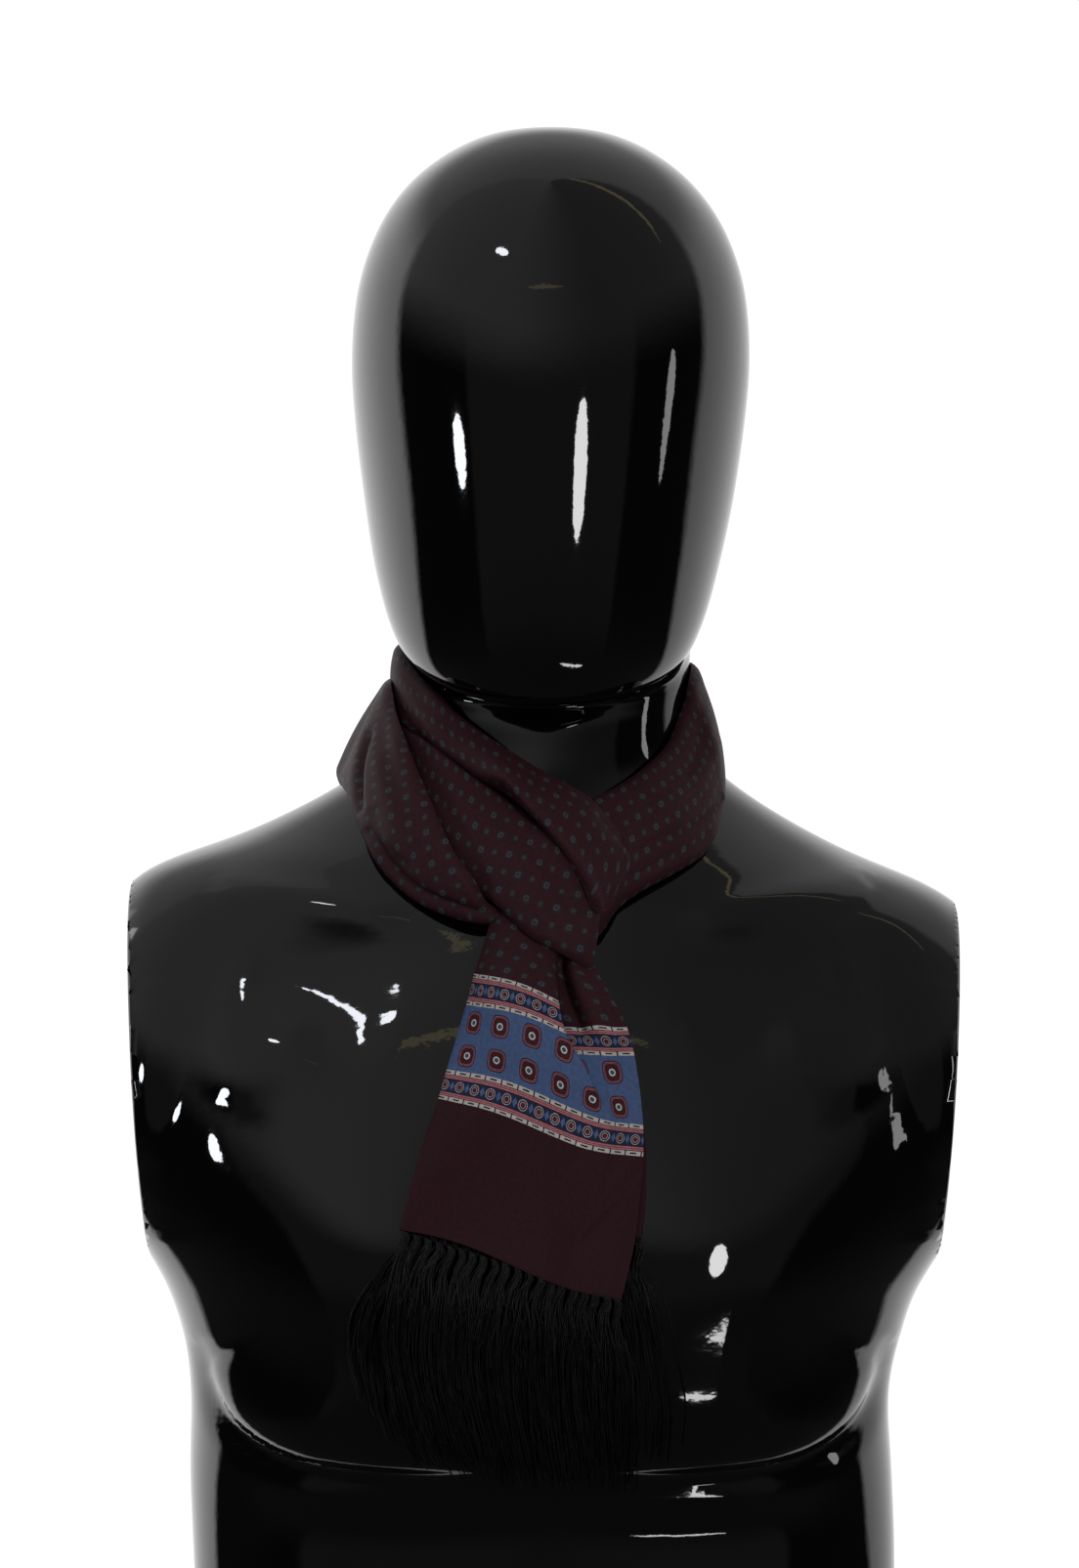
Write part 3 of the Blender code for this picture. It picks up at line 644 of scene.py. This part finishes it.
def printed_silk():
    """Screen-printed silk twill, matt with a faint sheen: a burgundy ground with staggered small
    motifs, and near the hem a blue band of rounded squares between two narrow borders, each a row of rings
    between pink lines and dashed white."""
    made, tree, shader = finish_of(
        "printed_silk_twill", GROUND, 0.5, Specular_IOR_Level=0.07, Sheen_Weight=0.03
    )
    shader.inputs["Sheen Tint"].default_value = shade("9A6A70")
    node = partial(add, tree)
    cloth = node("ShaderNodeUVMap", uv_map="cloth")
    at = node(VECTOR, cloth, (1 / MM, 1 / MM, 0), operation="MULTIPLY")
    parts = node("ShaderNodeSeparateXYZ", at)
    up, out = (parts, "X"), (parts, "Y")

    def rounded(x, half_x, y, half_y, power):
        """1 on the edge of a square with rounded corners, and less inside it."""
        total = []
        for value, half in ((x, half_x), (y, half_y)):
            share = node(MATH, node(MATH, value, half, operation="DIVIDE"), operation="ABSOLUTE")
            total.append(node(MATH, share, power, operation="POWER"))
        return node(MATH, node(MATH, *total, operation="ADD"), 1 / power, operation="POWER")

    def round_spot(x, y):
        """The distance from the middle of a round spot."""
        return node(VECTOR, node("ShaderNodeCombineXYZ", x, y), operation="LENGTH"), 1

    def columns(pitch):
        """The distance from the nearest column of a row, to its left or right."""
        away = node(MATH, out, FIRST_COLUMN, operation="SUBTRACT")
        return node(MATH, away, pitch / 2, -pitch / 2, operation="WRAP")

    # the ground: larger and smaller motifs by turns, in straight rows
    cells = node(VECTOR, at, (GROUND_UP, GROUND_OUT, 1), operation="DIVIDE")
    whole = node("ShaderNodeSeparateXYZ", node(VECTOR, cells, operation="FLOOR"))
    odd = node(MATH, node(MATH, (whole, "X"), (whole, "Y"), operation="ADD"), 1, operation="PINGPONG")
    inside = node(VECTOR, node(VECTOR, cells, operation="FRACTION"), (0.5, 0.5, 0), operation="SUBTRACT")
    inside = node(VECTOR, inside, (GROUND_UP, GROUND_OUT, 0), operation="MULTIPLY")
    inside = node("ShaderNodeSeparateXYZ", inside)
    large = rounded((inside, "X"), LARGE_UP, (inside, "Y"), LARGE_OUT, 3)
    small = rounded((inside, "X"), SMALL_UP, (inside, "Y"), SMALL_OUT, 2.4)
    large = node(
        RAMP,
        node(MATH, large, SHAPE_CHART, operation="DIVIDE"),
        stops=((0, "352F35"), (0.16, "48434A"), (0.4, "2F292D"), (0.66, FIGURED_GROUND)),
    )
    small = node(
        RAMP,
        node(MATH, small, SHAPE_CHART, operation="DIVIDE"),
        stops=((0, "413D43"), (0.4, "30292D"), (0.68, FIGURED_GROUND)),
    )
    ground = node(MIX, odd, large, small)

    # the two narrow borders, charted from the middle of each one's row of rings
    from_middle = node(MATH, node(MATH, up, BORDER_MIDDLE, operation="SUBTRACT"), operation="ABSOLUTE")
    row = node(MATH, from_middle, RINGS_FROM_MIDDLE, operation="SUBTRACT")
    from_row = node(MATH, row, operation="ABSOLUTE")
    x = columns(RING_PITCH)
    from_column = node(MATH, x, operation="ABSOLUTE")
    rings = node(
        RAMP,
        node(MATH, round_spot(x, row), RING_CHART, operation="DIVIDE"),
        stops=(
            (0, "6B2A33"),
            (0.13, "1B1A26"),
            (0.23, "B99A9C"),
            (0.31, "241F2C"),
            (0.44, "B9A6A8"),
            (0.52, "28304A"),
        ),
    )
    leaf = node(MATH, from_row, LEAF_TAPER, RING_PITCH / 2, operation="MULTIPLY_ADD")
    leaf = node(MATH, node(MATH, leaf, from_column, operation="SUBTRACT"), LEAF_HALF, operation="LESS_THAN")
    rings = node(MIX, leaf, rings, shade("566A94"))
    lines = node(
        RAMP,
        node(MATH, from_row, LINE_CHART, operation="DIVIDE"),
        stops=(
            (0, "28304A"),
            (0.255, "1E1822"),
            (0.285, "BC757D"),
            (0.345, "4A2229"),
            (0.365, "BC757D"),
            (0.425, "1E1822"),
            (0.45, "CCC5C1"),
            (0.62, "1E1822"),
        ),
    )
    dash = node(MATH, from_column, DASH_HALF_LONG, operation="LESS_THAN")
    tall = node(MATH, from_row, DASH_LINE, DASH_HALF_TALL, operation="COMPARE")
    dash = node(MATH, dash, tall, operation="MULTIPLY")
    gap = node(MATH, from_column, DASH_GAP, operation="GREATER_THAN")
    dash = node(MATH, dash, gap, operation="MAXIMUM")
    white = node(MATH, from_row, DASH_LINE, DASH_LINE_HALF, operation="COMPARE")
    dash = node(MATH, dash, white, operation="MULTIPLY")
    lines = node(MIX, dash, lines, shade("1A161C"))
    border = node(MIX, node(MATH, from_row, RING_ROW_HALF, operation="LESS_THAN"), lines, rings)

    # the blue band, with its two rows of rounded squares, each with a ringed eye
    x = columns(SQUARE_PITCH)
    y = node(MATH, from_middle, SQUARES_FROM_MIDDLE, operation="SUBTRACT")
    square = rounded(x, SQUARE_OUT, y, SQUARE_UP, SQUARE_ROUND)
    square = node(
        RAMP,
        node(MATH, square, SHAPE_CHART, operation="DIVIDE"),
        stops=(
            (0, "4A242B"),
            (0.31, "2A1B24"),
            (0.345, "A0606A"),
            (0.37, "52303A"),
            (0.395, "A0606A"),
            (0.43, "221B2A"),
            (0.475, "526690"),
        ),
    )
    eye = round_spot(x, y)
    rim = node(
        RAMP,
        node(MATH, eye, RING_CHART, operation="DIVIDE"),
        stops=((0, "4A5A80"), (0.13, "26232E"), (0.22, "D5D0CC"), (0.38, "1F1A24"), (0.46, "4A242B")),
    )
    band = node(MIX, node(MATH, eye, EYE, operation="LESS_THAN"), square, rim)

    # put together, up the cloth from the hem
    design = node(MIX, node(MATH, from_middle, BAND_HALF, operation="LESS_THAN"), border, band)
    design = node(MIX, node(MATH, from_middle, BORDER_HALF, operation="LESS_THAN"), ground, design)
    design = node(MIX, node(MATH, up, PLAIN_END, operation="GREATER_THAN"), shade(GROUND), design)

    # twill: fine diagonal lines in the weave, in the colour and as a bump, drawn coarser than real silk so
    # that they show, and a soft unevenness in the dye
    twill = node(MATH, node(MATH, up, out, operation="ADD"), 2 * pi / TWILL, operation="MULTIPLY")
    twill = node(MATH, twill, operation="SINE")
    dye = node("ShaderNodeTexNoise", at, None, 1 / DYE_SPOT, 4.0)
    tone = node("ShaderNodeMapRange", dye, 0.3, 0.7, DARKEST, PALEST)
    tone = node(MATH, twill, TWILL_TONE, tone, operation="MULTIPLY_ADD")
    design = node(VECTOR, design, node("ShaderNodeCombineXYZ", tone, tone, tone), operation="MULTIPLY")
    tree.links.new(design.outputs[0], shader.inputs["Base Color"])
    bump = node("ShaderNodeBump", 0.25, 0.0002, None, twill)
    tree.links.new(bump.outputs[0], shader.inputs["Normal"])
    return made


THREAD_WEAR = 2.4  # across one of the paler places


def black_silk_thread():
    """Twisted black silk thread: near black, a little paler in places, with a soft lustre along it."""
    made, tree, shader = finish_of("black_silk_thread", "070707", 0.4, Specular_IOR_Level=0.2)
    place = add(tree, "ShaderNodeTexCoord")
    wear = add(tree, "ShaderNodeTexNoise", (place, "Object"), None, 1 / (THREAD_WEAR * MM), 3.0)
    colour = add(tree, MIX, wear, shade("040404"), shade("0D0D0E"))
    tree.links.new(colour.outputs[0], shader.inputs["Base Color"])
    sheen = add(tree, "ShaderNodeMapRange", wear, 0.3, 0.7, 0.32, 0.5)
    tree.links.new(sheen.outputs[0], shader.inputs["Roughness"])
    return made


# ---- fringe ----
def make_fringe(name, rows, bundles, strands, depth, ragged, seed, gap=None):
    """Threads in bundles, each one a thin tube from the hem down, fanning out from its own looped heading.
    The bundle numbered gap is left out."""
    chance = np.random.default_rng(seed)
    curve = bpy.data.curves.new(name, "CURVE")
    curve.dimensions, curve.use_fill_caps = "3D", True
    curve.bevel_depth, curve.bevel_resolution = THREAD * MM, 0
    drops = np.linspace(0, 1, THREAD_POINTS) ** 1.5
    for bundle in range(bundles):
        lean, twist, cut = chance.normal(0, 1.2), chance.normal(0, 0.3), chance.normal(0, ragged * 0.7)
        for strand in range(0 if bundle == gap else strands):
            around = 2 * pi * strand / strands
            spread = BUNDLE_HALF * np.cos(around + TWIST * drops) * (1 - ease(drops, 0, 0.25))
            spread = spread + chance.normal(0, 0.8) * ease(drops, 0, 0.5)
            share = np.clip((bundle + 0.5 + spread) / bundles, 0, 1 + 0.05 * chance.random())
            length = USUAL_LENGTH - SHORT_LEFT * (1 - share[-1]) ** 6 + cut + chance.normal(0, ragged)
            row = smooth_rows(rows, drops * (len(rows) - 1) * length)
            x = row[:, 0] + (row[:, 3] - row[:, 0]) * share
            z = row[:, 1] + (row[:, 4] - row[:, 1]) * share
            off = row[:, 2] + (row[:, 5] - row[:, 2]) * share
            heading = np.sin(np.clip(drops / HEADING, 0, 1) * 2 * pi)
            wave = np.sin(chance.uniform(3, 9) * drops + chance.uniform(0, 6)) * chance.uniform(0.3, 1.8)
            x = x + (HEADING_SWING + twist) * heading + lean * np.sin(pi * drops) + wave * drops
            off = off + BUNDLE_DEEP * np.sin(around + TWIST * drops)
            off = off + (chance.random() - 0.5) * depth * np.minimum(1, 3 * drops)
            path = np.stack([x, chest_front(x, z) - np.maximum(off, 0.7), z], axis=-1)
            spline = curve.splines.new("POLY")
            spline.points.add(len(path) - 1)
            for point, place in zip(spline.points, path):
                point.co = (*(place * MM), 1)
    made = bpy.data.objects.new(name, curve)
    bpy.context.scene.collection.objects.link(made)
    mesh = bpy.data.meshes.new_from_object(made)
    bpy.data.objects.remove(made)
    mesh.shade_smooth()
    made = bpy.data.objects.new(name, mesh)
    bpy.context.scene.collection.objects.link(made)
    return made


# ---- build ----
lacquer = gloss_lacquer()
silk = printed_silk()
thread = black_silk_thread()

settle(make_form(), lacquer, "form_lacquer", "display_form")

points = wrap_points(OUTER_WRAP, 320, 34)
points = fold_in(points, OUTER_CREASES)
points = roll_edges(points, (5, 2), (6.5, 4))
outer_wrap = lay_sheet("outer_wrap", points, print_map(points, (20, 0), (0.2, 0.86)))
settle(outer_wrap, silk, "silk_twill", "outer_left", "outer_back", "right_band")

points = cross_points(INNER_WRAP, 220, 30)
points = fold_in(points, INNER_CREASES)
points = roll_edges(points, (4, 2), (0, 0))
inner_wrap = lay_sheet("inner_wrap", points, print_map(points, (5, 5), (0.6,)))
settle(inner_wrap, silk, "silk_twill", "inner_back", "upper_cross")

points = cross_points(LOOP_FRONT, 90, 36)
points = fold_in(points, LOOP_CREASES)
points = roll_edges(points, (4, 2), (0, 0))
loop_front = lay_sheet("loop_front_cloth", points, print_map(points, (-20, -20), (0.5,)))
settle(loop_front, silk, "silk_twill", "loop_front")

points, print_at = hang_points(TAIL_FRONT, 100, 70)
points = fold_in(points, TAIL_CREASES)
tail_front = lay_sheet("tail_front_cloth", points, print_at)
settle(tail_front, silk, "silk_twill", "tail_front")

points, print_at = hang_points(TAIL_BACK, 70, 60)
tail_back = lay_sheet("tail_back_cloth", points, print_at, wall=1.0)
settle(tail_back, silk, "silk_twill", "tail_back")

fringe_front = make_fringe("fringe_front_threads", FRINGE_FRONT, 20, 38, 3.6, 0.045, seed=3)
settle(fringe_front, thread, "fringe_thread", "fringe_front")
fringe_back = make_fringe("fringe_back_threads", FRINGE_BACK, 20, 15, 1.4, 0.09, seed=5, gap=17)
settle(fringe_back, thread, "fringe_thread", "fringe_back")

# ---- stage, light and camera ----
bm = bmesh.new()
bmesh.ops.create_circle(bm, cap_ends=True, radius=0.25, segments=96)
floor = add_piece("floor", bm)
floor.data.materials.append(finish_of("pale_floor", "D8D8D6", 0.6)[0])
floor.visible_glossy = False  # the room mirrored in the lacquer has a dark floor

scene = bpy.context.scene
scene.view_settings.view_transform = "Standard"

# The studio's parts. An edge is where one goes over into the next, in degrees round from the front or up
# from level, and the others say how bright they are.
FRONT_EDGE, BACKDROP_EDGE = (57, 62), (106, 114)
FLOOR_EDGE, CEILING_EDGE, PAPER_TOP = (-30, -8), (8, 24), (22, 40)
SWEEP_EDGE, SWEEP_BACK = (-24, 0), 22  # how much further back the backdrop starts below level
CEILING_ACROSS = (-35, 35)
FRONT_GREY, SIDE_DARK, FLOOR_DARK = 0.1, 0.015, 0.05
CEILING_LEFT, CEILING_RIGHT = 0.42, 0.2
PAPER_LEFT, PAPER_RIGHT, PAPER_HIGH = 1.3, 0.85, 0.5


def studio():
    """The room that the lacquer mirrors: a white backdrop behind and beside, dark panels at both sides, a
    grey room in front and a paler ceiling."""
    world = bpy.data.worlds.new("studio")
    world.use_nodes = True
    tree = world.node_tree
    way = add(tree, "ShaderNodeTexCoord")
    way = add(tree, "ShaderNodeSeparateXYZ", (way, "Generated"))
    front = add(tree, "ShaderNodeMath", (way, "Y"), -1.0, operation="MULTIPLY")
    turn = add(tree, "ShaderNodeMath", (way, "X"), front, operation="ARCTAN2")
    turn = add(tree, "ShaderNodeMath", turn, 180 / pi, operation="MULTIPLY")
    apart = add(tree, "ShaderNodeMath", turn, operation="ABSOLUTE")
    rise = add(tree, "ShaderNodeMath", (way, "Z"), operation="ARCSINE")
    rise = add(tree, "ShaderNodeMath", rise, 180 / pi, operation="MULTIPLY")

    def blend(value, start, end, below, above):
        """Goes from below to above while value goes from start to end."""
        share = add(tree, "ShaderNodeMapRange", value, start, end, interpolation_type="SMOOTHSTEP")
        return add(tree, "ShaderNodeMix", share, None, below, above, data_type="FLOAT")

    low = blend(apart, *FRONT_EDGE, FRONT_GREY, SIDE_DARK)
    low = blend(rise, *FLOOR_EDGE, FLOOR_DARK, low)
    ceiling = blend(turn, *CEILING_ACROSS, CEILING_LEFT, CEILING_RIGHT)
    room = blend(rise, *CEILING_EDGE, low, ceiling)
    paper = blend((way, "X"), -1, 1, PAPER_LEFT, PAPER_RIGHT)
    paper = blend(rise, *PAPER_TOP, paper, PAPER_HIGH)
    sweep = blend(rise, *SWEEP_EDGE, SWEEP_BACK, 0)
    edge = add(tree, "ShaderNodeMath", apart, sweep, operation="SUBTRACT")
    room = blend(edge, *BACKDROP_EDGE, room, paper)
    seen = add(tree, "ShaderNodeLightPath")
    strength = add(tree, "ShaderNodeMath", (seen, "Is Camera Ray"), room, operation="MAXIMUM")
    tree.links.new(strength.outputs[0], tree.nodes["Background"].inputs["Strength"])
    tree.nodes["Background"].inputs["Color"].default_value = (1, 1, 1, 1)
    return world


scene.world = studio()

# round: to the right from the front, degrees. up: above level. away: how far, metres.
Panel = namedtuple("Panel", "name round up away width height power colour")
PANELS = (
    Panel("front_window", 23, 1, 2.6, 0.44, 0.78, 14.5, "FFFFFF"),
    Panel("left_window", -66, 3, 2.4, 0.34, 0.26, 5.5, "F4F8FF"),
    Panel("right_window", 84, 6, 2.4, 0.22, 0.6, 1.2, "FFFFFF"),
    Panel("low_window", 27, -31, 2.4, 0.9, 0.06, 1.8, "FFFFFF"),
    Panel("high_left", -40, 46, 2.4, 0.3, 0.12, 2, "F4F8FF"),
    Panel("overhead_rail", 90, 62, 1.7, 0.05, 1.3, 0.12, "FFEEA8"),
    Panel("front_rail", -4, 35, 2.6, 1.0, 0.06, 0.1, "FFEEA8"),
)
for panel in PANELS:
    lamp = bpy.data.lights.new(panel.name, "AREA")
    lamp.shape, lamp.size, lamp.size_y, lamp.energy = "ELLIPSE", panel.width, panel.height, panel.power
    lamp.color = shade(panel.colour)[:3]
    holder = bpy.data.objects.new(panel.name, lamp)
    turn, rise = np.radians(panel.round), np.radians(panel.up)
    toward = Vector((np.sin(turn) * np.cos(rise), -np.cos(turn) * np.cos(rise), np.sin(rise)))
    holder.location = Vector((0, 0, 0.42)) + panel.away * toward
    holder.rotation_euler = toward.to_track_quat("Z", "Y").to_euler()
    scene.collection.objects.link(holder)

eye = bpy.data.cameras.new("camera")
eye.sensor_width, eye.lens = 36, 125.4
camera = bpy.data.objects.new("camera", eye)
camera.location = Vector((-3.9, -2400, 394.2)) * MM
camera.rotation_euler = (pi / 2, 0, 0)
scene.collection.objects.link(camera)
scene.camera = camera
